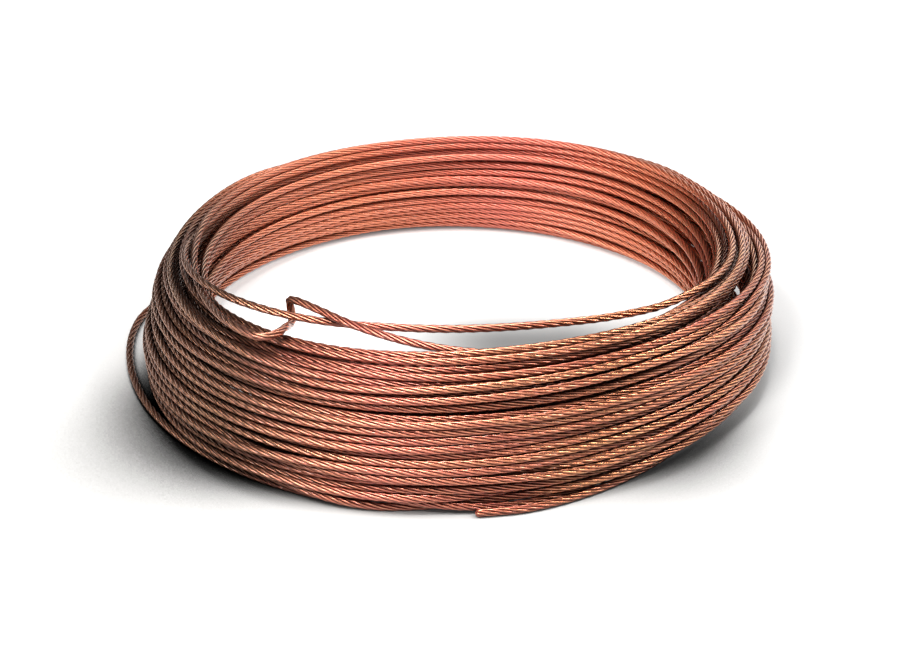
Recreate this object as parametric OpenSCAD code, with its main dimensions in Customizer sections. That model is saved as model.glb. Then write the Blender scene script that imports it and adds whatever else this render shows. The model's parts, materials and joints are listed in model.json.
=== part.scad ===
// Coil of bare stranded copper cable, wound loose and lying flat.
// The origin is the coil's axis at the level it rests on, and +Z is up.

/* [Cable] */
// Diameter of the stranded cable
cable_d = 3.7; // [3:0.1:4.5]

/* [Winding] */
// Diameter across the outside of the winding
coil_od = 306; // [280:1:340]
// Rows of turns, one above another
rows = 19; // [15:2:23]
// Turns side by side in the widest row
turns_across = 7; // [5:2:9]
// Spacing of the turns in a row, as a share of the cable's diameter
nest_across = 0.92; // [0.9:0.01:0.94]
// Spacing of the rows, as a share of the cable's diameter
nest_up = 0.87; // [0.86:0.01:0.88]
// How far the section narrows towards its top and bottom rows
section_taper = 0.9; // [0.8:0.01:0.95]
// How much less the top row's radius is than the bottom row's
lean_in = 8; // [0:1:12]

/* [Loose turns] */
// Clearance between a loose turn and what it lies on
seat_gap = 0.3; // [0.2:0.05:0.5]

/* [Hidden] */
$fn = 96;

bright_copper = [0.80, 0.48, 0.33];
worn_copper = [0.62, 0.38, 0.28];

turn_pitch = nest_across * cable_d;
row_pitch = nest_up * cable_d;
coil_h = cable_d + (rows - 1) * row_pitch;
mid_row = (rows - 1) / 2;

// Turns in a row: the row's share of a rounded section, odd and even in
// turn, because each row lies in the grooves of the one below it.
function row_share(j) = sqrt(1 - pow(section_taper * (j - mid_row) / mid_row, 2));
function odd_row(j) = (abs(j - mid_row) + turns_across) % 2;
function turns_in(j) = let (odd = odd_row(j)) odd + 2 * round((turns_across * row_share(j) - odd) / 2);
function row_lean(j) = -lean_in * (j - mid_row) / (rows - 1);
function row_reach(j) = row_lean(j) + (turns_in(j) - 1) / 2 * turn_pitch;
mid_r = (coil_od - cable_d) / 2 - max([for (j = [0 : rows - 1]) row_reach(j)]);
function turn_r(j, k) = mid_r + row_lean(j) + (k - (turns_in(j) - 1) / 2) * turn_pitch;
function row_z(j) = cable_d / 2 + j * row_pitch;

// Where a cord lies against the two lowest rows, on the floor.
touch = cable_d + seat_gap;
foot_r = max(
    turn_r(0, turns_in(0) - 1) + touch,
    turn_r(1, turns_in(1) - 1) + sqrt(touch * touch - row_pitch * row_pitch)
);
foot_z = cable_d / 2 + 0.05;
// The height of a cord that lies on the top row.
top_z = coil_h + cable_d / 2 + seat_gap;

// The loose turns' routes. A point is an angle round the coil in degrees,
// a distance out from the route's own radius, and a height over its level.
outer_route = [
    [128, 0, 0], [137, 0.3, 0], [146, 1, 0], [154, 3.6, 0], [162, 8.2, 0],
    [170, 11.9, 0], [178, 11.4, 0], [186, 9.6, 0], [194, 7.8, 0], [203, 6.2, 0],
    [212, 4.8, 0], [221, 3.4, 0], [230, 2.2, 0], [239, 1.2, 0], [248, 0.5, 0],
    [257, 0.1, 0],
];
inner_route = [
    [184, 0, 0], [191, -0.8, 0], [198, -3.2, 0], [206, -7.7, 0], [215, -13.2, -0.3],
    [226, -20.7, -1], [238, -28.7, -1.6], [251, -35.7, -1.9], [266, -39.2, -2], [281, -39.2, -2],
    [295, -35.2, -1.8], [307, -27.7, -1.4], [318, -19.2, -0.8], [328, -10.7, -0.1], [339, -5.2, 0],
    [350, -2.7, 0],
];
hook_route = [
    [221, 0.3, 0], [227, 1.8, 0], [231.3, 2.2, 0.2], [233.6, -1.2, 0.3], [234.2, -7.6, 0.4],
    [233, -14, -1.2], [230.6, -20.5, -5], [228.8, -26.2, -7.2], [227.4, -29.6, -6.4],
    [226.4, -30.6, -2.8], [226.2, -30.4, 1], [227.4, -30.4, 3.2], [230.4, -30.4, 4.1],
    [237, -29.2, 4.1], [246, -25.4, 3.3], [256, -20.4, 2], [266, -15.4, 0.8],
    [276, -10.7, 0.2], [286, -6.9, 0], [295, -4.7, 0],
];
end_route = [
    [273, 4, 0], [280, 3, 0], [287, 1.3, 0], [295, 0.4, 0], [303, 0, 0],
];
tube_sides = 8;

// A route's points in millimetres.
function placed(route, r, z) = [
    for (p = route) [(r + p[1]) * cos(p[0]), (r + p[1]) * sin(p[0]), z + p[2]]
];

// A smooth curve through the points, in a number of steps from each to the next.
function curve_at(p, i, t) =
    let (a = p[max(i - 1, 0)], b = p[i], c = p[i + 1], d = p[min(i + 2, len(p) - 1)])
    b + ((c - a) * t + (2 * a - 5 * b + 4 * c - d) * t * t + (3 * b - a - 3 * c + d) * t * t * t) / 2;
function smooth(p, steps) = concat(
    [for (i = [0 : len(p) - 2], s = [0 : steps - 1]) curve_at(p, i, s / steps)],
    [p[len(p) - 1]]
);

// The direction along a path at each ring, and one across it that doesn't spin.
function unit(v) = v / norm(v);
function along(p, i) = unit(p[min(i + 1, len(p) - 1)] - p[max(i - 1, 0)]);
function square_to(v, t) = unit(v - (v * t) * t);
function across(p, i, v) =
    i == len(p) ? [] : let (s = square_to(v, along(p, i))) concat([s], across(p, i + 1, s));

// A round cord along a path, as one closed tube with flat ends.
module cord(path) {
    n = tube_sides;
    last = len(path) - 1;
    up = across(path, 0, [0, 0, 1]);
    points = [
        for (i = [0 : last], k = [0 : n - 1])
            let (side = cross(along(path, i), up[i]), a = 360 * k / n)
            path[i] + cable_d / 2 * (cos(a) * up[i] + sin(a) * side)
    ];
    walls = [
        for (i = [0 : last - 1], k = [0 : n - 1])
            let (m = (k + 1) % n)
            [i * n + k, i * n + m, (i + 1) * n + m, (i + 1) * n + k]
    ];
    start_face = [for (k = [n - 1 : -1 : 0]) k];
    end_face = [for (k = [0 : n - 1]) last * n + k];
    polyhedron(points, concat([start_face], walls, [end_face]));
}

// Half of the section: the turns in each row, joined through their centres.
module winding_section() {
    polygon(concat(
        [for (j = [0 : rows - 1]) [turn_r(j, turns_in(j) - 1), row_z(j)]],
        [for (j = [rows - 1 : -1 : 0]) [turn_r(j, 0), row_z(j)]]
    ));
    for (j = [0 : rows - 1], k = [0 : turns_in(j) - 1])
        if (j == 0 || j == rows - 1 || k == 0 || k == turns_in(j) - 1)
            translate([turn_r(j, k), row_z(j)]) circle(d = cable_d);
}

module wound_turns() {
    color(bright_copper) rotate_extrude() winding_section();
}

module loose_outer_turn() {
    color(worn_copper) cord(smooth(placed(outer_route, foot_r, foot_z), 2));
}

module loose_inner_turn() {
    color(worn_copper) cord(smooth(placed(inner_route, mid_r, top_z), 2));
}

module hooked_turn() {
    color(worn_copper) cord(placed(hook_route, mid_r, top_z));
}

module cut_end() {
    color(bright_copper) cord(smooth(placed(end_route, foot_r, foot_z), 2));
}

wound_turns();
loose_outer_turn();
loose_inner_turn();
hooked_turn();
cut_end();
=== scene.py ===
# %% [markdown]
# # A coil of bare copper cable
#
# The real thing is one length of bare stranded copper cable, about 50 m long, wound by hand into a loose
# ring that lies flat. The cable is a rope of seven wires: one straight core and six that run round it.
# Everything here is that one cable, so the lesson is about three things: where its turns lie, how its six
# outer wires show on its surface, and how tarnished copper takes the light.
#
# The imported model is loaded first. Its solids say where the coil is and how big it may be.

# %% The frame
import json
import math

import bpy
import numpy as np
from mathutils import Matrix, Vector

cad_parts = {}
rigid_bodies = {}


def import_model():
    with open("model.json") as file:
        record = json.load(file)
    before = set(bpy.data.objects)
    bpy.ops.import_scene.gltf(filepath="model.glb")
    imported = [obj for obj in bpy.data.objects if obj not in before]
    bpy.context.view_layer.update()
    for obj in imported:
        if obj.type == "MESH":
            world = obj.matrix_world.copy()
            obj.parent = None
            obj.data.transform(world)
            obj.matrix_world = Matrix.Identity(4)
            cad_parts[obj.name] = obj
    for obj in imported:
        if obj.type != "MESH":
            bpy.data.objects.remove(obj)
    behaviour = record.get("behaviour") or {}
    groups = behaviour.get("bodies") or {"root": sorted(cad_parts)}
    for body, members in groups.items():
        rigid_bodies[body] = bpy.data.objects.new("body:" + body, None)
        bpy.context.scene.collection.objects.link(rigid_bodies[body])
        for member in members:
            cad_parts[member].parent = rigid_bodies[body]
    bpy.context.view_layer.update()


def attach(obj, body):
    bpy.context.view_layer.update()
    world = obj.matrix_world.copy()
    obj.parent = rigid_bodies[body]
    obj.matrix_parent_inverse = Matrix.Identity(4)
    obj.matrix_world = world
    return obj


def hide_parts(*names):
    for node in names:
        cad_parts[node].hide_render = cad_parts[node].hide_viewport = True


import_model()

# %% [markdown]
# ## The camera
#
# A wide lens close by would make the near turns look fat and the far ones thin. This camera stands just
# under a metre away with a short telephoto lens, and looks down at the coil by about 27 degrees, so that
# the outside, the top and the inside of the ring all show. It aims a little above the floor, near the
# coil's axis.

# %% The camera
eye = Vector((0, -0.8316, 0.4442))
aim = Vector((-0.0040, -0.0063, 0.0152))
camera_data = bpy.data.cameras.new("camera")
camera_data.sensor_width = 36
camera_data.lens = 75.6
camera = bpy.data.objects.new("camera", camera_data)
camera.location = eye
camera.rotation_euler = (aim - eye).to_track_quat("-Z", "Y").to_euler()
bpy.context.scene.collection.objects.link(camera)
bpy.context.scene.camera = camera
down = math.degrees(math.asin((eye.z - aim.z) / (eye - aim).length))
print("camera looks down by", round(down, 1), "degrees")

# %% [markdown]
# ## The cable's own sizes
#
# Seven equal wires, one in the middle and six round it, fill a circle three wires across. The lay is the
# length over which an outer wire goes once round the core. Here it is a little under ten cable diameters,
# and the wires turn to the right, as a common screw does.

# %% Cable sizes
CABLE_D = 0.0037
WIRE_D = CABLE_D / 3
LAY = 9.7 * CABLE_D
KG_PER_METRE = 0.0759
print("wire", round(WIRE_D * 1000, 2), "mm, lay", round(LAY * 1000, 1), "mm")

# %% [markdown]
# ## Where the slack stretches run
#
# Most turns are held by their neighbours, but four stretches are free: the turn that bulges out at the
# left, the turn that crosses the eye, the turn that hooks round it, and the cut end in front. Their routes
# are the ones that the solids follow. Each point is an angle round the coil in degrees, then how far out
# from a base radius it lies and how far above a base height, in metres.

# %% Routes of the slack stretches
FOOT_R, FOOT_Z = 0.15228, 0.0019
MIDDLE_R, TOP_Z = 0.13917, 0.06379
OUTER_ROUTE = [
    (128, 0, 0), (137, 0.0003, 0), (146, 0.001, 0), (154, 0.0036, 0), (162, 0.0082, 0),
    (170, 0.0119, 0), (178, 0.0114, 0), (186, 0.0096, 0), (194, 0.0078, 0), (203, 0.0062, 0),
    (212, 0.0048, 0), (221, 0.0034, 0), (230, 0.0022, 0), (239, 0.0012, 0), (248, 0.0005, 0),
    (257, 0.0001, 0)]
INNER_ROUTE = [
    (184, 0, 0), (191, -0.0008, 0), (198, -0.0032, 0), (206, -0.0077, 0),
    (215, -0.0132, -0.0003), (226, -0.0207, -0.001), (238, -0.0287, -0.0016),
    (251, -0.0357, -0.0019), (266, -0.0392, -0.002), (281, -0.0392, -0.002),
    (295, -0.0352, -0.0018), (307, -0.0277, -0.0014), (318, -0.0192, -0.0008),
    (328, -0.0107, -0.0001), (339, -0.0052, 0), (350, -0.0027, 0)]
HOOK_ROUTE = [
    (221, 0.0003, 0), (227, 0.0018, 0), (231.3, 0.0022, 0.0002), (233.6, -0.0012, 0.0003),
    (234.2, -0.0076, 0.0004), (233, -0.014, -0.0012), (230.6, -0.0205, -0.005),
    (228.8, -0.0262, -0.0072), (227.4, -0.0296, -0.0064), (226.4, -0.0306, -0.0028),
    (226.2, -0.0304, 0.001), (227.4, -0.0304, 0.0022), (230.4, -0.0304, 0.0027),
    (237, -0.0292, 0.0027), (246, -0.0254, 0.0024), (256, -0.0204, 0.002),
    (266, -0.0154, 0.0008), (276, -0.0107, 0.0002), (286, -0.0069, 0), (295, -0.0047, 0)]
END_ROUTE = [(272, 0.0026, 0), (280, 0.0014, 0), (287, 0.0003, 0), (295, 0.0004, 0), (303, 0, 0)]
print("route points:", [len(route) for route in (OUTER_ROUTE, INNER_ROUTE, HOOK_ROUTE, END_ROUTE)])

# %% [markdown]
# ## Smooth lines through points
#
# A Bezier curve object would also run through the points, but its handles are hard to set by numbers. A
# Catmull-Rom line needs none: it runs through every point, and the two neighbours of a stretch say how it
# bends. Angles and radii are read back from a line wherever the winding has to meet it.

# %% Lines and angles
def placed(route, base_r, base_z):
    """A route's points in the frame's own metres."""
    points = []
    for degrees, out, up in route:
        a = math.radians(degrees)
        points.append([(base_r + out) * math.cos(a), (base_r + out) * math.sin(a), base_z + up])
    return np.array(points)


def smooth_line(points, steps):
    """A smooth line through every point, with steps pieces between two of them."""
    p = np.asarray(points, float)
    p = np.vstack([2 * p[0] - p[1], p, 2 * p[-1] - p[-2]])
    t = (np.arange(steps) / steps)[:, None]
    pieces = []
    for a, b, c, d in zip(p[:-3], p[1:-2], p[2:-1], p[3:]):
        pieces.append(0.5 * (2 * b + (c - a) * t + (2 * a - 5 * b + 4 * c - d) * t ** 2
                             + (3 * b - a - 3 * c + d) * t ** 3))
    return np.vstack(pieces + [p[-2:-1]])


def polar(points):
    """Angle in degrees, radius and height of each point of a line, with the angle running on."""
    x, y, z = points.T
    return np.degrees(np.unwrap(np.arctan2(y, x))), np.hypot(x, y), z


end_line = smooth_line(placed(END_ROUTE, FOOT_R, FOOT_Z), 8)
outer_line = smooth_line(placed(OUTER_ROUTE, FOOT_R, FOOT_Z), 8)
inner_line = smooth_line(placed(INNER_ROUTE, MIDDLE_R, TOP_Z), 8)
hook_line = smooth_line(placed(HOOK_ROUTE, MIDDLE_R, TOP_Z), 8)
print("the slack outer turn reaches", round(polar(outer_line)[1].max() * 1000, 1), "mm out")

# %% [markdown]
# ## The shape of the winding
#
# A hand-wound ring isn't the same all the way round: it is fat and upright where it is held and flatter
# and leaning elsewhere. Eight places round it, one each 45 degrees and starting at the right-hand side,
# say its middle radius, half its width, half its height, and how far its top leans in. A few cosines
# carry those numbers smoothly round.

# %% The winding's section round the coil
MIDDLES = np.array([135.4, 139.4, 140.6, 139.2, 136.4, 139.4, 137.2, 134.4]) / 1000
HALF_WIDTHS = np.array([19.0, 11.8, 12.0, 12.6, 13.4, 12.6, 12.2, 12.4]) / 1000
HALF_HEIGHTS = np.array([30.7, 30.4, 28.7, 28.3, 28.2, 30.0, 33.0, 33.5]) / 1000
LEANS = np.array([-2.8, -3.4, -5.4, -6.0, -6.8, -9.6, -7.7, -3.0]) / 1000


def round_the_coil(values, angles):
    """Eight values, one each 45 degrees, carried smoothly to any angle."""
    waves = np.fft.rfft(values) / 8
    a = np.radians(angles)
    total = waves[0].real + waves[4].real * np.cos(4 * a)
    for k in (1, 2, 3):
        total = total + 2 * (waves[k].real * np.cos(k * a) - waves[k].imag * np.sin(k * a))
    return total


print("winding is", round(2000 * HALF_WIDTHS.mean()), "mm wide and",
      round(2000 * HALF_HEIGHTS.mean()), "mm high")

# %% [markdown]
# ## Counting along the cable
#
# The cable is followed from its cut end, and each of its 58 turns is cut into 96 stations. A station is a
# fixed angle, so the same station of two turns can be compared straight away. Hands don't wind evenly, so
# smooth random wandering is at hand too: a few random draws far apart, with an eased blend between them.

# %% Stations
TURNS, STATIONS = 58, 96
STEP = 360 / STATIONS
START = 272.75
COUNT = TURNS * STATIONS
angle = START + np.arange(COUNT) * STEP
rng = np.random.default_rng(4)


def stations(turn, low, high):
    """The stations of one turn between two angles."""
    first = math.ceil((turn * 360 + low - START) / STEP - 1e-9)
    last = math.floor((turn * 360 + high - START) / STEP + 1e-9)
    return np.arange(first, last + 1)


def wander(turns, amount):
    """Smooth random wandering along the cable, with so many turns from one draw to the next."""
    apart = STATIONS * turns
    draws = rng.standard_normal(int(np.ceil(COUNT / apart)) + 3)
    x = np.arange(COUNT) / apart
    i = x.astype(int)
    t = x - i
    t = t * t * (3 - 2 * t)
    return amount * ((1 - t) * draws[i] + t * draws[i + 1])


print(COUNT, "stations on", TURNS, "turns")

# %% [markdown]
# ## The order of the turns
#
# After the first turn at the foot, the cable climbs the outside of the ring in 24 turns, comes down
# through the middle in 17 and climbs again inside in 14. So its place goes from -1 at the foot to 1 at the
# top, and from 1 outside to -1 inside. The wandering makes the turns cross and leave gaps. It is calmer in
# the inner layer, so that no gap shows right through the ring. The far end is tucked down among its
# neighbours, as the one who winds a coil does with the end that must not spring out.

# %% A station's share of the height and the width
LAST_OUTSIDE, LAST_MIDDLE, CHANGE = 24, 41, 2
CALM_INSIDE = 0.3
SLANT = np.array([0.2, 0.5, 0.35, 0.15, 0.0, -0.15, -0.35, -0.4])
TUCK_DOWN, TUCK_OUT = 0.4, 0.8
ROUNDNESS = 2.6

wound = TURNS - 3
done = np.clip(np.arange(COUNT) / STATIONS - 1, 0, wound)
up_down = np.interp(done, [0, LAST_OUTSIDE, LAST_MIDDLE, wound], [-1, 1, -1, 1])
changes = [LAST_OUTSIDE - CHANGE, LAST_OUTSIDE + CHANGE, LAST_MIDDLE - CHANGE, LAST_MIDDLE + CHANGE]
across = np.interp(done, changes, [0.95, 0, 0, -0.95])
calm = np.interp(done, [LAST_MIDDLE - 1, LAST_MIDDLE + 1], [1, CALM_INSIDE])
up_down = np.clip(up_down + calm * (wander(0.40, 0.07) + wander(1.3, 0.06)), -1, 1)
across = across + wander(0.35, 0.35) + round_the_coil(SLANT, angle) * up_down
tucked = np.clip((np.arange(COUNT) - COUNT + STATIONS) / STATIONS, 0, 1)
up_down = up_down - TUCK_DOWN * tucked
across = across + TUCK_OUT * tucked
narrowing = np.clip(1 - np.abs(up_down) ** ROUNDNESS, 0.03, 1) ** (1 / ROUNDNESS)
across = np.clip(across, -1, 1) * narrowing
print("layers end after turns", LAST_OUTSIDE, LAST_MIDDLE, wound)

# %% [markdown]
# ## From shares to places
#
# A share of the height or the width is only a wish. With the section's own sizes at that angle it becomes
# a radius and a height in metres, which is where that station wants to be. The cable's own half thickness
# and a little room are taken off, so that the outermost turns stay within the section.

# %% Where each station wants to be
ROOM = 0.0003
half_w = round_the_coil(HALF_WIDTHS, angle) - CABLE_D / 2 - ROOM
half_h = round_the_coil(HALF_HEIGHTS, angle) - CABLE_D / 2 - ROOM
lean = round_the_coil(LEANS, angle)
middle = round_the_coil(MIDDLES, angle)
want_r = middle + half_w * across + lean * up_down
want_z = half_h + CABLE_D / 2 + half_h * up_down
crown = 2 * half_h + CABLE_D / 2
print("wanted radii", round(want_r.min() * 1000, 1), "to", round(want_r.max() * 1000, 1), "mm")

# %% [markdown]
# ## Holding the slack stretches
#
# The slack stretches are known, so their stations are pinned to their routes. Where a pinned stretch meets
# the winding, a few stations more follow the route's wish but stay free to settle, or the cable would kink
# there. The hook turns back on itself, so stations by angle can't follow it: that stretch is left out
# here, and its own line is put in at the end.

# %% Pins at the foot
pinned = np.zeros(COUNT, bool)
left_out = np.zeros(COUNT, bool)
FIRST_TURN, OUTER_TURN, EYE_TURN, HOOK_TURN = 0, 1, TURNS - 2, TURNS - 1
UNDER_FRONT = 318
RUN_IN = ([281, 287, 295, 304, UNDER_FRONT], [0.1525, 0.148, 0.1445, 0.1425, 0.1410])
RUN_OUT_FROM, RUN_OUT_OVER, RUN_OUT_R = 450, 62, 0.153


def pin(turn, low, high, line):
    """Makes the stations from low to high follow a line, and holds them there."""
    a, r, z = polar(line)
    a = a + 360 * round((low - a.min()) / 360)
    order = np.argsort(a)
    j = stations(turn, low, high)
    want_r[j] = np.interp(angle[j] - turn * 360, a[order], r[order])
    want_z[j] = np.interp(angle[j] - turn * 360, a[order], z[order])
    pinned[j] = True


pin(FIRST_TURN, 272, 281, end_line)
j = stations(FIRST_TURN, 281.1, 360 + 152)
share = np.interp(angle[j], [UNDER_FRONT, 350, 450], [-0.05, 0.05, 0.55])
want_r[j] = (middle - lean)[j] + share * half_w[j]
want_z[j] = CABLE_D / 2
want_r[j] = np.where(angle[j] < UNDER_FRONT, np.interp(angle[j], *RUN_IN), want_r[j])
toward = np.clip((angle[j] - RUN_OUT_FROM) / RUN_OUT_OVER, 0, 1)
want_r[j] = want_r[j] + toward * (RUN_OUT_R - want_r[j])
pin(OUTER_TURN, 152, 250, outer_line)
print("pinned at the foot", int(pinned.sum()))

# %% Pins across the eye and at the hook
pin(EYE_TURN, 184, 350, inner_line)
pinned[stations(EYE_TURN, 184, 214)] = False
pinned[stations(EYE_TURN, 319, 350)] = False

climb = int(np.argmax(polar(hook_line)[0][:60]))
back = int(np.argmin(polar(hook_line)[0]))
pin(HOOK_TURN, 221, 232, hook_line[:climb + 1])
pin(HOOK_TURN, 232.1, 295, hook_line[back:])
pinned[stations(HOOK_TURN, 256, 295)] = False
left_out[stations(HOOK_TURN, 232.1, 245.9)] = True

TOP_TURN_IN = 0.002
j = stations(EYE_TURN, 350.1, 360 + 220.9)
want_r[j] = (middle + lean - TOP_TURN_IN)[j]
want_z[j] = (crown + CABLE_D / 2)[j]
print("pinned", int(pinned.sum()), "left out", int(left_out.sum()))

# %% [markdown]
# ## Settling the turns
#
# A physics simulation of 50 m of springy cable would take hours. Instead every station is pulled a
# little towards its wanted place, the cable is straightened a little, and any two turns that are closer
# than one cable diameter at the same station are pushed apart, some hundreds of times over. That is
# enough for the turns to nest in each other and never to run through each other. The pull fades from one
# round to the next, so that the pushing has the last word.

# %% One round's helpers
free = ~(pinned | left_out)
r, z = want_r.copy(), want_z.copy()


def by_station(x):
    """The same numbers with one row for each station of a turn and one column for each turn."""
    return x.reshape(TURNS, STATIONS).T


def springy(x):
    """Where each station would be if the cable bent as evenly as a springy rod."""
    m = x.copy()
    m[2:-2] = (4 * x[1:-3] + 4 * x[3:-1] - x[:-4] - x[4:]) / 6
    m[1], m[-2] = (x[0] + x[2]) / 2, (x[-1] + x[-3]) / 2
    return m


def between_turns(x):
    """How far each turn is from each other turn, at every station."""
    rows = by_station(x)
    return rows[:, :, None] - rows[:, None, :]


out_here, pin_here = by_station(left_out), by_station(pinned)
skipped = out_here[:, :, None] | out_here[:, None, :]
same = np.arange(TURNS)
print("free stations", int(free.sum()))

# %% The rounds
ROUNDS, PUSHES = 400, 2
CLEAR = 0.985 * CABLE_D
PULL_FIRST, PULL_LAST = 0.06, 0.002
SPRING, EVEN = 0.45, 0.12
PUSH_HALF, PUSH_WHOLE = 0.45, 0.9
LONGEST_PUSH = 0.0015
for turn_round in range(ROUNDS):
    pull = PULL_FIRST * (1 - turn_round / ROUNDS) ** 2 + PULL_LAST
    r[free] += pull * (want_r - r)[free]
    z[free] += pull * (want_z - z)[free]
    for x in (r, z):
        x[free] += SPRING * (springy(x) - x)[free]
        even = x.copy()
        even[1:-1] = (x[:-2] + x[2:]) / 2
        x[free] += EVEN * (even - x)[free]
    for push in range(PUSHES):
        dr, dz = between_turns(r), between_turns(z)
        apart = np.sqrt(dr * dr + dz * dz) + 1e-9
        over = np.clip(CLEAR - apart, 0, None)
        over[:, same, same] = 0
        over[skipped] = 0
        share = over / apart * np.where(pin_here[:, None, :], PUSH_WHOLE, PUSH_HALF)
        move_r = (share * dr).sum(2).T.reshape(-1)
        move_z = (share * dz).sum(2).T.reshape(-1)
        limit = np.minimum(1, LONGEST_PUSH / np.maximum(np.hypot(move_r, move_z), 1e-12))
        r[free] += (move_r * limit)[free]
        z[free] += (move_z * limit)[free]
    z[free] = np.maximum(z[free], CABLE_D / 2)

apart = np.hypot(between_turns(r), between_turns(z))
apart[:, same, same] = 1
apart[skipped] = 1
print("closest turns", round(apart.min() * 1000, 2), "mm, too close", int((apart < 0.9 * CABLE_D).sum() // 2),
      "top", round((z.max() + CABLE_D / 2) * 1000, 1), "mm")

# %% [markdown]
# ## One line for the whole cable
#
# The settled stations and the hook's own line are joined into one line from end to end, and that line is
# walked in even steps. A step of a twelfth of the lay lets the six wires turn by 30 degrees from one ring
# of vertices to the next, which keeps the twist smooth and the triangles few. The hook bends within a few
# cable diameters, so it gets three rings in place of one. At the cut end a few close rings draw in, so
# that the snipped wires close with a blunt, rounded tip.

# %% The cable's line
FINE = 6
line = np.stack([r * np.cos(np.radians(angle)), r * np.sin(np.radians(angle)), z], 1)
gap = np.flatnonzero(left_out)
before, after = gap[0] - 1, gap[-1] + 1
hook_fine = smooth_line(placed(HOOK_ROUTE, MIDDLE_R, TOP_Z), FINE)
hook_from = int(np.argmin(np.linalg.norm(hook_fine - line[before], axis=1)))
hook_to = int(np.argmin(np.linalg.norm(hook_fine - line[after], axis=1)))
whole = np.vstack([line[:before], hook_fine[hook_from:hook_to + 1], line[after + 1:]])
dense = smooth_line(whole, FINE)
run = np.concatenate([[0], np.cumsum(np.linalg.norm(np.diff(dense, axis=0), axis=1))])
total = run[-1]
print("cable length", round(total, 2), "m; weighs", round(total * KG_PER_METRE, 2), "kg")

# %% The rings along it
RINGS_A_LAY = 12
RING_STEP = LAY / RINGS_A_LAY
HOOK_MARGIN = 0.01
TIP = 0.0018
BLUNT = 0.08


def at(distance):
    """The cable's points at these distances from its cut end."""
    return np.stack([np.interp(distance, run, dense[:, i]) for i in range(3)], 1)


fine_from = run[FINE * before] - HOOK_MARGIN
fine_to = run[FINE * (before + hook_to - hook_from + 1)] + HOOK_MARGIN
tip = TIP * (1 - np.cos(np.radians([0, 15, 30, 45, 60, 75])))
distances = np.concatenate([
    tip, np.arange(TIP, fine_from, RING_STEP), np.arange(fine_from, fine_to, RING_STEP / 3),
    np.arange(fine_to, total, RING_STEP)])
girth = np.sqrt(np.clip(1 - np.clip(1 - distances / TIP, 0, 1) ** 2, BLUNT, 1))
rings = at(distances)
print(len(rings), "rings, one each", round(RING_STEP * 1000, 2), "mm")

# %% [markdown]
# ## The way the rings face
#
# Each ring of vertices is square to the cable, and must not spin about it by itself or the wires would
# twist by chance. So one side direction is carried along the line, made square to it again at every ring,
# and the lay's own turn is added on top.

# %% Ring directions
tangents = np.gradient(rings, axis=0)
tangents /= np.linalg.norm(tangents, axis=1)[:, None]
sides = np.zeros_like(rings)
side = np.array([0.0, 0.0, 1.0])
for i, t in enumerate(tangents):
    side = side - t * (side @ t)
    side /= math.sqrt(side @ side)
    sides[i] = side
ups = np.cross(tangents, sides)
turned = 2 * math.pi * distances / LAY
print("the wires go round", round(turned[-1] / (2 * math.pi)), "times")

# %% [markdown]
# ## The section of a seven-wire strand
#
# A round tube with a bump pattern looks like a rope from afar, but its outline stays smooth and its
# valleys don't darken. The real section is cheap enough: each outer wire shows four points of its own
# circle, at its crest, at 60 degrees to either side, and in the valley where it touches the next wire.
# Each point also says how deep in a groove it lies, from 0 at the crest to 1 in the valley, and the
# copper's shader reads that later.

# %% The section
WIRES = 6
WIRE_R = WIRE_D / 2
WIRE_POINTS = ((-60, 0.3), (0, 0.0), (60, 0.3), (120, 1.0))
VALLEY = 3
section, grooves = [], []
for wire in range(WIRES):
    for part, groove_depth in WIRE_POINTS:
        x = WIRE_D + WIRE_R * math.cos(math.radians(part))
        y = WIRE_R * math.sin(math.radians(part))
        a = math.radians(60 * wire)
        section.append((x * math.cos(a) - y * math.sin(a), x * math.sin(a) + y * math.cos(a)))
        grooves.append(groove_depth)
section, grooves = np.array(section), np.array(grooves)
POINTS = len(section)
reach = np.hypot(section[:, 0], section[:, 1])
print(POINTS, "points a ring, from", round(reach.min() * 1000, 2), "to", round(reach.max() * 1000, 2),
      "mm out")

# %% [markdown]
# ## Making a stretch of cable
#
# A Screw or Array modifier could twist a strand, but only along a straight or circular line. Here each
# ring of the section is set down square to the cable's own line and turned by the lay, and quads join it
# to the next. Both ends are closed with a fan of triangles.

# %% The skin's points and faces
def skin_points(k):
    """The points of rings k, and one more in the middle of each end."""
    cos, sin = np.cos(turned[k])[:, None], np.sin(turned[k])[:, None]
    x = (section[:, 0] * cos - section[:, 1] * sin) * girth[k][:, None]
    y = (section[:, 0] * sin + section[:, 1] * cos) * girth[k][:, None]
    skin = rings[k][:, None, :] + x[:, :, None] * sides[k][:, None, :] + y[:, :, None] * ups[k][:, None, :]
    return np.vstack([skin.reshape(-1, 3), rings[k[:1]], rings[k[-1:]]])


def skin_faces(n):
    """The quads between n rings, and the triangles that close both ends."""
    row, col = np.meshgrid(np.arange(n - 1), np.arange(POINTS), indexing="ij")
    nxt = (col + 1) % POINTS
    quads = np.stack([row * POINTS + col, row * POINTS + nxt,
                      (row + 1) * POINTS + nxt, (row + 1) * POINTS + col], 2)
    c = np.arange(POINTS)
    d = (c + 1) % POINTS
    end_row = (n - 1) * POINTS
    caps = np.vstack([np.stack([np.full(POINTS, n * POINTS), d, c], 1),
                      np.stack([np.full(POINTS, n * POINTS + 1), end_row + c, end_row + d], 1)])
    return quads.reshape(-1, 4), caps


print("a stretch of 10 rings has", len(skin_points(np.arange(10))), "points and",
      len(skin_faces(10)[0]), "quads")

# %% [markdown]
# ## What the mesh carries with it
#
# The shader needs to know where it is on the cable, and that is told by the mesh. A UV map holds how far
# round each corner is, from 0 to 1, and how far along, in metres. A groove value at each point says how
# deep in a valley it lies. The edges in the valleys are marked sharp, so that two wires don't shade as
# one soft hump.

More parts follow.
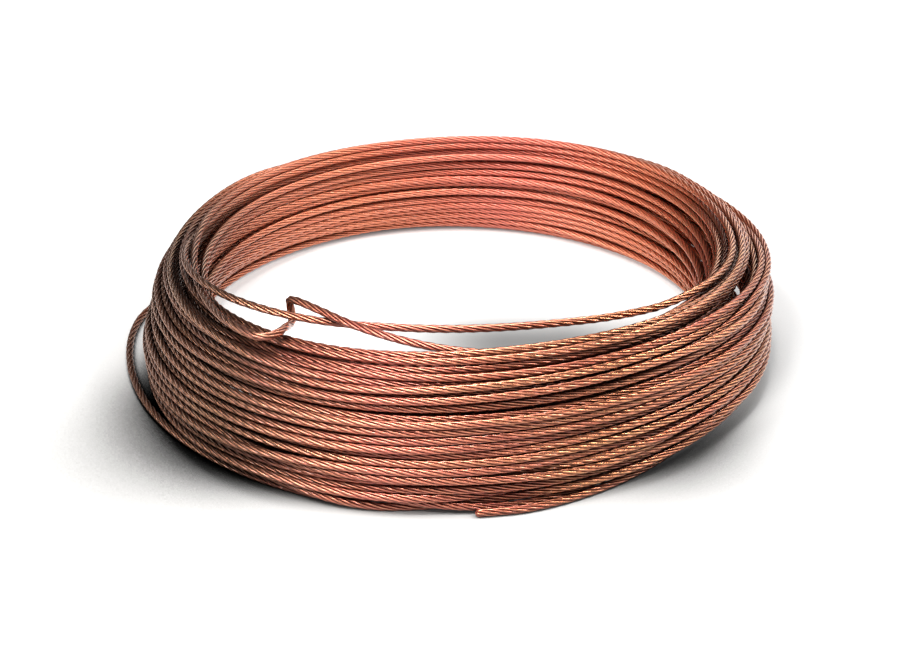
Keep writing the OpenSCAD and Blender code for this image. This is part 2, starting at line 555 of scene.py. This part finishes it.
# %% Marks on the mesh
def map_along_the_cable(mesh, k):
    """A UV map that holds how far round and how far along the cable each corner is."""
    row, col = np.meshgrid(np.arange(len(k) - 1), np.arange(POINTS), indexing="ij")
    u = np.stack([col, col + 1, col + 1, col], 2) / POINTS
    v = distances[k][np.stack([row, row, row + 1, row + 1], 2)]
    ends = np.repeat([[0.5, distances[k[0]]], [0.5, distances[k[-1]]]], 3 * POINTS, axis=0)
    flat = np.concatenate([np.stack([u, v], 3).reshape(-1, 2), ends])
    mesh.uv_layers.new(name="along_the_cable").data.foreach_set("uv", flat.astype(np.float32).reshape(-1))


def mark_grooves(mesh, n):
    """How deep each point lies between two wires, and a sharp edge along each valley."""
    deep = mesh.attributes.new("groove", "FLOAT", "POINT")
    deep.data.foreach_set("value", np.concatenate([np.tile(grooves, n), [1, 1]]).astype(np.float32))
    ends = np.zeros(2 * len(mesh.edges), np.int32)
    mesh.edges.foreach_get("vertices", ends)
    ends = ends.reshape(-1, 2)
    on_skin = ends.max(1) < n * POINTS
    along = ends[:, 0] % POINTS == ends[:, 1] % POINTS
    sharp = mesh.attributes.new("sharp_edge", "BOOLEAN", "EDGE")
    sharp.data.foreach_set("value", on_skin & along & (ends[:, 0] % len(WIRE_POINTS) == VALLEY))


# %% The strand mesh
def strand(name, first, last):
    """A stretch of the cable from one ring to another, as a closed mesh that follows the wires."""
    k = np.arange(first, last + 1)
    points = skin_points(k)
    quads, caps = skin_faces(len(k))
    corners = np.concatenate([quads.reshape(-1), caps.reshape(-1)]).astype(np.int32)
    starts = np.concatenate([np.arange(0, quads.size, 4), quads.size + np.arange(0, caps.size, 3)])
    mesh = bpy.data.meshes.new(name)
    mesh.vertices.add(len(points))
    mesh.vertices.foreach_set("co", points.astype(np.float32).reshape(-1))
    mesh.loops.add(len(corners))
    mesh.loops.foreach_set("vertex_index", corners)
    mesh.polygons.add(len(quads) + len(caps))
    mesh.polygons.foreach_set("loop_start", starts.astype(np.int32))
    smooth = np.concatenate([np.ones(len(quads), bool), np.zeros(len(caps), bool)])
    mesh.polygons.foreach_set("use_smooth", smooth)
    mesh.update(calc_edges=True)
    map_along_the_cable(mesh, k)
    mark_grooves(mesh, len(k))
    mesh.validate()
    piece = bpy.data.objects.new(name, mesh)
    bpy.context.scene.collection.objects.link(piece)
    return piece


print("a metre of cable takes", round(2 * POINTS / RING_STEP), "triangles")

# %% [markdown]
# ## Cutting the line into pieces
#
# The cable is one length, but it is made in stretches: each slack stretch stands for its own solid, and
# the winding is cut into four so that no mesh gets too heavy. Two stretches that meet share a ring, and
# the twist runs on from one to the next, so no joint shows.

# %% Where the stretches begin and end
STRETCHES = [
    ("cable_cut_end", "cut_end"), ("cable_foot_turn", "wound_turns"),
    ("cable_slack_outer", "loose_outer_turn"),
    ("cable_winding_1", "wound_turns"), ("cable_winding_2", "wound_turns"),
    ("cable_winding_3", "wound_turns"), ("cable_winding_4", "wound_turns"),
    ("cable_slack_inner", "loose_inner_turn"), ("cable_top_turn", "wound_turns"),
    ("cable_hook", "hooked_turn"), ("cable_tail", "wound_turns")]


def ring_at(turn, a):
    """The ring nearest to an angle on one turn."""
    j = stations(turn, a, a + STEP)[0]
    if j >= before:
        j = j + len(whole) - COUNT
    return int(np.argmin(np.abs(distances - run[FINE * j])))


cuts = [0, ring_at(FIRST_TURN, 303), ring_at(OUTER_TURN, 128), ring_at(OUTER_TURN, 257)]
wound_from, wound_to = cuts[-1], ring_at(EYE_TURN, 184)
cuts += [wound_from + round((wound_to - wound_from) * q / 4) for q in (1, 2, 3)]
cuts += [wound_to, ring_at(EYE_TURN, 350), ring_at(HOOK_TURN, 221), ring_at(HOOK_TURN, 295), len(rings) - 1]
print("cut at rings", cuts)

# %% The stretches
pieces = []
for (name, solid), first, last in zip(STRETCHES, cuts[:-1], cuts[1:]):
    piece = strand(name, first, last)
    path = rings[first:last + 1]
    if name == "cable_cut_end":
        path = path[::-1]
    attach(piece, "root")
    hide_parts(solid)
    pieces.append(piece)

# %% [markdown]
# ## Building a material by nodes
#
# Materials are usually made by dragging nodes about. A script can do the same with a few small helpers: one
# that makes a node and links or sets its inputs, one for a single sum, one that mixes two colours, and one
# that steps smoothly from 0 to 1. With those, a material reads like a recipe.

# %% Helpers for materials
def new_material(name):
    """An empty material, and its nodes and links."""
    material = bpy.data.materials.new(name)
    material.use_nodes = True
    material.node_tree.nodes.clear()
    return material, material.node_tree.nodes, material.node_tree.links


def node(kind, inputs=(), **settings):
    """A shader node with its settings made and its inputs given a value or linked."""
    made = nodes.new(kind)
    for key, value in settings.items():
        setattr(made, key, value)
    for key, value in dict(inputs).items():
        if isinstance(value, bpy.types.NodeSocket):
            links.new(value, made.inputs[key])
        else:
            made.inputs[key].default_value = value
    return made


def maths(operation, a, b=0.0, c=0.0, clamp=False):
    """One Math node's output."""
    return node("ShaderNodeMath", {0: a, 1: b, 2: c}, operation=operation, use_clamp=clamp).outputs[0]


def blend_colour(share, a, b, how="MIX"):
    """Colour a with a share of colour b mixed into it."""
    return node("ShaderNodeMix", {0: share, 6: a, 7: b}, data_type="RGBA", blend_type=how).outputs[2]


def fade(value, low, high):
    """A smooth step from 0 at low to 1 at high."""
    return node("ShaderNodeMapRange", {0: value, 1: low, 2: high, 3: 0.0, 4: 1.0},
                interpolation_type="SMOOTHSTEP").outputs[0]


copper, nodes, links = new_material("bare_copper_strand")
print("made", copper.name)

# %% [markdown]
# ## Where on the cable
#
# New copper is a bright pinkish metal. In the air it browns, first in the valleys between the wires where
# hands and cloths don't reach, and unevenly along its length. A single metal colour would look like a
# toy, and a picture wrapped round the cable would repeat. So the tarnish is added up from four noises: one
# that runs along the cable, one in the object's own space, one for each wire along its length, and one
# plain shade for each wire.

# %% Tarnish
ALONG_SHARE, PATCH_SHARE, WIRE_SHARE, PLAIN_SHARE = 0.7, 0.5, 0.35, 0.16

place = node("ShaderNodeUVMap", uv_map="along_the_cable")
round_it, along_it = node("ShaderNodeSeparateXYZ", {0: place.outputs[0]}).outputs[:2]
wire_number = maths("FLOOR", maths("MULTIPLY_ADD", round_it, 6.0, 0.25))
this_wire = node("ShaderNodeCombineXYZ", {0: wire_number}).outputs[0]
wire_shade = node("ShaderNodeTexWhiteNoise", {1: wire_number}, noise_dimensions="1D").outputs[0]
stretch_noise = node("ShaderNodeTexNoise", {"W": along_it, "Scale": 1.7, "Detail": 4.0, "Roughness": 0.6},
                     noise_dimensions="1D").outputs[0]
wire_noise = node("ShaderNodeTexNoise", {"W": along_it, "Vector": this_wire, "Scale": 22.0, "Detail": 3.0},
                  noise_dimensions="4D").outputs[0]
space = node("ShaderNodeTexCoord").outputs["Object"]
patch_noise = node("ShaderNodeTexNoise", {"Vector": space, "Scale": 14.0, "Detail": 3.0}).outputs[0]
tarnish = maths("MULTIPLY", stretch_noise, ALONG_SHARE)
tarnish = maths("ADD", tarnish, maths("MULTIPLY", patch_noise, PATCH_SHARE))
tarnish = maths("ADD", tarnish, maths("MULTIPLY", wire_noise, WIRE_SHARE))
tarnish = maths("ADD", tarnish, maths("MULTIPLY", wire_shade, PLAIN_SHARE))
print("tarnish takes", len(nodes), "nodes")

# %% [markdown]
# ## Three coppers
#
# A ramp turns the tarnish into copper: golden where it is rubbed bright, orange in the middle and brown
# where it is dull. The wires' sides are redder and darker than their crests, which the groove value knows:
# partly wear, which leaves the crests bright, and partly painted shade on the sides. The back is painted
# lighter than the front, as painted light, the left side is painted darker and browner, as painted shade,
# and a band through the middle is pink. Each is a soft step on the object's own coordinates.

# %% The ramp and the wires' sides
GOLDEN = (1.0, 0.70, 0.31, 1)
ORANGE = (0.97, 0.55, 0.27, 1)
BROWN = (0.58, 0.22, 0.14, 1)
PAINTED_LIGHT_COPPER = (1.0, 0.46, 0.26, 1)
RED_SIDE_AND_SHADE = (0.42, 0.088, 0.088, 1)
RUBBED, MIDDLING, DULL = 0.25, 0.5, 0.78
FRONT_Y, BACK_Y = -0.02, 0.10

space_x, space_y = node("ShaderNodeSeparateXYZ", {0: space}).outputs[:2]
groove = node("ShaderNodeAttribute", attribute_name="groove").outputs["Fac"]
# Painted light: the back is painted lighter, its copper mixed toward a brighter copper.
painted_lighter_back = fade(space_y, FRONT_Y, BACK_Y)
ramp = node("ShaderNodeValToRGB", {0: maths("SUBTRACT", tarnish, 0.35)})
ramp.color_ramp.elements[0].position = RUBBED
ramp.color_ramp.elements[0].color = GOLDEN
ramp.color_ramp.elements[1].position = DULL
ramp.color_ramp.elements[1].color = BROWN
ramp.color_ramp.elements.new(MIDDLING).color = ORANGE
crest = blend_colour(maths("MULTIPLY", painted_lighter_back, 0.8), ramp.outputs[0], PAINTED_LIGHT_COPPER)
# Partly wear, partly painted shade: the wires' sides are painted redder and darker than their crests.
side_and_shade_share = maths("MULTIPLY", groove, 1.5, clamp=True)
side_and_shade_share = maths("MULTIPLY", side_and_shade_share, maths("MULTIPLY_ADD", painted_lighter_back, -0.5, 0.75))
colour = blend_colour(side_and_shade_share, crest, RED_SIDE_AND_SHADE)
print("the ramp has", len(ramp.color_ramp.elements), "coppers")

# %% The pink band and the painted shade on the left
WARM_TINT = (1.0, 0.71, 0.71, 1)
PINK_TINT = (0.92, 0.50, 0.78, 1)
LEFT_SHADE_BROWN = (0.30, 0.225, 0.16, 1)
BAND_SLANT, BAND_AT, BAND_EDGE = 0.214, 0.005, 11.0
LEFT_SHADE_FROM_X, LEFT_SHADE_TO_X = -0.04, -0.11

wide_noise = node("ShaderNodeTexNoise", {"Vector": space, "Scale": 6.0, "Detail": 1.0}).outputs[0]
off_middle = maths("ABSOLUTE", maths("ADD", maths("MULTIPLY_ADD", space_y, -BAND_SLANT, space_x), BAND_AT))
ragged = maths("MULTIPLY_ADD", wide_noise, 1.2, 0.25)
pinkness = maths("MULTIPLY_ADD", off_middle, -BAND_EDGE, ragged, clamp=True)
pinkness = maths("MULTIPLY", pinkness, maths("MULTIPLY_ADD", painted_lighter_back, -0.35, 1.0))
tint = blend_colour(pinkness, WARM_TINT, PINK_TINT)
colour = blend_colour(1.0, colour, tint, "MULTIPLY")
# Painted shade: the left side is painted darker and browner, where less light falls.
painted_left_shade = fade(space_x, LEFT_SHADE_FROM_X, LEFT_SHADE_TO_X)
painted_left_shade = maths("MULTIPLY", painted_left_shade, maths("MULTIPLY_ADD", painted_lighter_back, -0.6, 1.0))
painted_left_shade = maths("MULTIPLY", painted_left_shade, maths("MULTIPLY_ADD", groove, 0.4, 0.41), clamp=True)
colour = blend_colour(painted_left_shade, colour, LEFT_SHADE_BROWN)
print("copper has", len(nodes), "nodes so far")

# %% [markdown]
# ## Dark valleys and gaps
#
# Deep between two wires the colour darkens: partly old oxide, which sits where nothing rubs, and partly
# painted shade. Its depth is the groove value, squared to keep it to the very bottom. Deep between two
# turns the colour is painted dark as shade, as far as an ambient occlusion node finds the copper hemmed in
# within a few millimetres. A second such node looks straight up, so the undersides of the turns are painted
# darker than their tops, as shade from light above. This painted shade is held back where the back is
# painted lighter or the copper is pink.

# %% Valleys and gaps
VALLEY_OXIDE_AND_SHADE = (0.035, 0.013, 0.009, 1)
GAP_PAINTED_SHADE = (0.028, 0.010, 0.008, 1)
VALLEY_SHARE, GAP_SHARE = 0.45, 0.91
GAP_REACH, SKY_REACH = 0.007, 0.006

# Partly oxide, partly painted shade: the colour darkens deep between two wires.
valley = maths("POWER", groove, 2.0)
colour = blend_colour(maths("MULTIPLY", valley, VALLEY_SHARE), colour, VALLEY_OXIDE_AND_SHADE)
# Painted shade: dark between two turns, and darker on the undersides of the turns than on their tops.
hidden = node("ShaderNodeAmbientOcclusion", {"Distance": GAP_REACH}, samples=8).outputs["AO"]
upward = node("ShaderNodeCombineXYZ", {0: 0.0, 1: 0.0, 2: 1.0}).outputs[0]
sky = node("ShaderNodeAmbientOcclusion", {"Distance": SKY_REACH, "Normal": upward}, samples=8).outputs["AO"]
sky_share = maths("MULTIPLY_ADD", sky, 1.6, 0.15, clamp=True)
painted_gap_shade = maths("SUBTRACT", 1.0, maths("MULTIPLY", maths("POWER", hidden, 1.6), sky_share))
painted_gap_shade = maths("MULTIPLY", painted_gap_shade, maths("MULTIPLY_ADD", valley, -0.5, 1.0))
painted_gap_shade = maths("MULTIPLY", painted_gap_shade, maths("MULTIPLY_ADD", painted_lighter_back, -0.65, 1.0))
painted_gap_shade = maths("MULTIPLY", painted_gap_shade, maths("MULTIPLY_ADD", pinkness, -0.35, 1.0))
colour = blend_colour(maths("MULTIPLY", painted_gap_shade, GAP_SHARE), colour, GAP_PAINTED_SHADE)
print("copper has", len(nodes), "nodes so far")

# %% [markdown]
# ## How it shines
#
# Drawn wire is smooth metal, so its crests give small sharp glints. Tarnish, the pink film and the dirt in
# the valleys scatter the light and make it rougher. A thin clear coat stands for the film of drawing oil
# and oxide, and gives a second, whiter glint. Fine scratches that run along the wires are far below what
# geometry should carry, so they are bump.

# %% The metal
SCRATCHES_ROUND, SCRATCHES_A_METRE, SCRATCH_DEPTH = 90.0, 60.0, 0.00006

rough = maths("MULTIPLY_ADD", painted_lighter_back, 0.17, maths("MULTIPLY_ADD", tarnish, 0.2, 0.07))
rough = maths("MULTIPLY_ADD", pinkness, 0.14, rough)
rough = maths("MULTIPLY_ADD", valley, 0.35, rough, clamp=True)
scratch_round = maths("MULTIPLY", round_it, SCRATCHES_ROUND)
scratch_along = maths("MULTIPLY", along_it, SCRATCHES_A_METRE)
drawn = node("ShaderNodeCombineXYZ", {0: scratch_round, 1: scratch_along}).outputs[0]
scratches = node("ShaderNodeTexNoise", {"Vector": drawn, "Scale": 1.0, "Detail": 2.0}).outputs[0]
bump = node("ShaderNodeBump", {"Strength": 0.35, "Distance": SCRATCH_DEPTH, "Height": scratches})
metal = node("ShaderNodeBsdfPrincipled", {
    "Base Color": colour, "Metallic": 1.0, "Roughness": rough, "Normal": bump.outputs[0],
    "Coat Weight": 0.45, "Coat Roughness": 0.10, "Coat IOR": 1.6})
node("ShaderNodeOutputMaterial", {0: metal.outputs[0]})
for piece in pieces:
    piece.data.materials.append(copper)
print("copper has", len(nodes), "nodes, on", len(pieces), "pieces")

# %% [markdown]
# ## The floor
#
# A plain pale floor that runs out past the edge of every view. The coil would look afloat without its
# shade. The lamps' own shadows are soft and thin, so the floor's material paints a deeper shadow close to
# the coil, where an ambient occlusion node finds the floor hemmed in. This painted shadow is deepest at the
# front left and next at the front right.

# %% The floor and the shade round the coil
FLOOR_R = 8.0
FRONT_LEFT, FRONT_RIGHT = 215, 314
SHADE_REACH = 0.13
for o in bpy.data.objects:
    o.select_set(False)
bpy.ops.mesh.primitive_circle_add(vertices=96, radius=FLOOR_R, fill_type="NGON", location=(0, 0, 0))
floor = bpy.context.object
floor.name = "floor"
floor_white, nodes, links = new_material("floor_white")
spot = node("ShaderNodeTexCoord").outputs["Object"]
spot_x, spot_y = node("ShaderNodeSeparateXYZ", {0: spot}).outputs[:2]
radius = node("ShaderNodeVectorMath", {0: spot}, operation="LENGTH").outputs["Value"]
outward = node("ShaderNodeVectorMath", {0: spot}, operation="NORMALIZE").outputs[0]
outside = fade(radius, 0.138, 0.150)
inside = maths("SUBTRACT", 1.0, outside)


def towards(degrees, tightness):
    """1 along one direction from the coil's axis, falling off to either side and 0 behind it."""
    a = math.radians(degrees)
    way = (math.cos(a), math.sin(a), 0)
    facing = node("ShaderNodeVectorMath", {0: outward, 1: way}, operation="DOT_PRODUCT").outputs["Value"]
    return maths("POWER", maths("MAXIMUM", facing, 0.0), tightness)


# Painted shadow: the floor is darkened where the coil hems it in.
near = node("ShaderNodeAmbientOcclusion", {"Distance": SHADE_REACH}, samples=8).outputs["AO"]
hemmed_in = maths("POWER", maths("SUBTRACT", 1.0, near), 2.0)
depth = maths("MULTIPLY_ADD", towards(FRONT_LEFT, 21.0), 36.0, 1.5)
depth = maths("MULTIPLY_ADD", towards(FRONT_RIGHT, 30.0), 7.5, depth)
depth = maths("MULTIPLY", depth, maths("MULTIPLY_ADD", outside, 0.97, 0.03))
shade = maths("POWER", 2.718, maths("MULTIPLY", maths("MULTIPLY", hemmed_in, depth), -1.0))
print("floor", 2 * FLOOR_R, "m across")

# %% [markdown]
# ## Inside the eye, and the floor's own light
#
# Inside the eye, behind the front of the ring, a soft shadow is painted into the floor's material, and it
# fades out to the back and to both sides. The floor's colour is a pale neutral grey. For the camera, and
# for what the metal mirrors, a little light of its own lifts it to white. That light grows far out, where
# the lamps don't reach, and the shades darken it as they darken the floor.

# %% The floor's material
PALE_FLOOR = (0.68, 0.695, 0.71, 1)

# Painted shadow inside the eye, behind the front of the ring.
painted_eye_shadow = maths("MULTIPLY", fade(spot_y, 0.058, 0.004), fade(spot_x, -0.070, 0.025))
painted_eye_shadow = maths("MULTIPLY", painted_eye_shadow, fade(spot_x, 0.16, 0.05))
painted_eye_shadow = maths("MULTIPLY", painted_eye_shadow, inside)
shade = maths("MULTIPLY", shade, maths("MULTIPLY_ADD", painted_eye_shadow, -0.80, 1.0))
rays = node("ShaderNodeLightPath").outputs
seen = maths("MAXIMUM", maths("MAXIMUM", rays["Is Camera Ray"], rays["Is Glossy Ray"]),
             rays["Is Transmission Ray"])
glow = maths("MULTIPLY_ADD", inside, 0.35, 0.05)
glow = maths("MULTIPLY_ADD", fade(radius, 0.35, 1.1), 0.95, glow)
matt = node("ShaderNodeBsdfDiffuse", {0: blend_colour(shade, (0.0, 0.0, 0.0, 1), PALE_FLOOR)})
strength = maths("MULTIPLY", seen, maths("MULTIPLY", shade, glow))
lit = node("ShaderNodeEmission", {0: (1, 1, 1, 1), 1: strength})
both = node("ShaderNodeAddShader", {0: matt.outputs[0], 1: lit.outputs[0]})
node("ShaderNodeOutputMaterial", {0: both.outputs[0]})
floor.data.materials.append(floor_white)
print("floor has", len(nodes), "nodes")

# %% [markdown]
# ## The light
#
# Copper shows what is round it, so the lamps are what draws the strands. A picture of a studio wrapped
# round the scene would do, but plain lamps say better what each is for. A soft one hangs overhead. A ring
# of small warm ones stands high at the front and the sides for the glints on the crests of the wires, a
# low one lifts the front, two wide ones light the back and the right side, and a small one looks down into
# the eye. The surround stays dim, so that the gaps between the turns stay dark.

# %% Lamps
PLAIN, WARM, WARMER, COOL = (1, 1, 1), (1.0, 0.96, 0.91), (1.0, 0.95, 0.90), (0.82, 0.95, 1.0)
COIL_MIDDLE = Vector((0, 0, 0.03))
LAMPS = [
    ("ceiling", (0.0, -0.05, 1.6), 0.7, 8.5, PLAIN),
    ("upper_left", (-0.65, -0.4, 1.2), 0.3, 8, WARM),
    ("left_high", (-0.95, 0.1, 1.1), 0.3, 2, WARM),
    ("upper_right", (0.85, -0.15, 1.15), 0.35, 9.5, WARM),
    ("front", (-0.45, -0.85, 1.3), 0.3, 12, WARM),
    ("low_front", (0.1, -1.35, 0.5), 0.5, 2.2, WARMER),
    ("inside", (0.0, -0.35, 1.1), 0.12, 3.5, WARM),
    ("right_back", (0.65, 1.25, 0.7), 0.9, 5, COOL),
    ("right", (1.25, 0.1, 0.6), 0.6, 4.5, PLAIN)]


def lamp(name, where, size, watts, tone):
    """A square soft lamp that looks at the coil."""
    data = bpy.data.lights.new(name, "AREA")
    data.size = size
    data.energy = watts
    data.color = tone
    made = bpy.data.objects.new(name, data)
    made.location = where
    made.rotation_euler = (COIL_MIDDLE - Vector(where)).to_track_quat("-Z", "Y").to_euler()
    bpy.context.scene.collection.objects.link(made)


for row in LAMPS:
    lamp(*row)
print(len(LAMPS), "lamps,", sum(row[3] for row in LAMPS), "W in all")

# %% The surround
DIM = 0.12
world = bpy.data.worlds.new("surround")
bpy.context.scene.world = world
world.use_nodes = True
nodes, links = world.node_tree.nodes, world.node_tree.links
nodes.clear()
surround = node("ShaderNodeBackground", {0: (1, 1, 1, 1), 1: DIM})
node("ShaderNodeOutputWorld", {0: surround.outputs[0]})
bpy.context.scene.view_settings.view_transform = "Standard"
print("surround at", DIM)
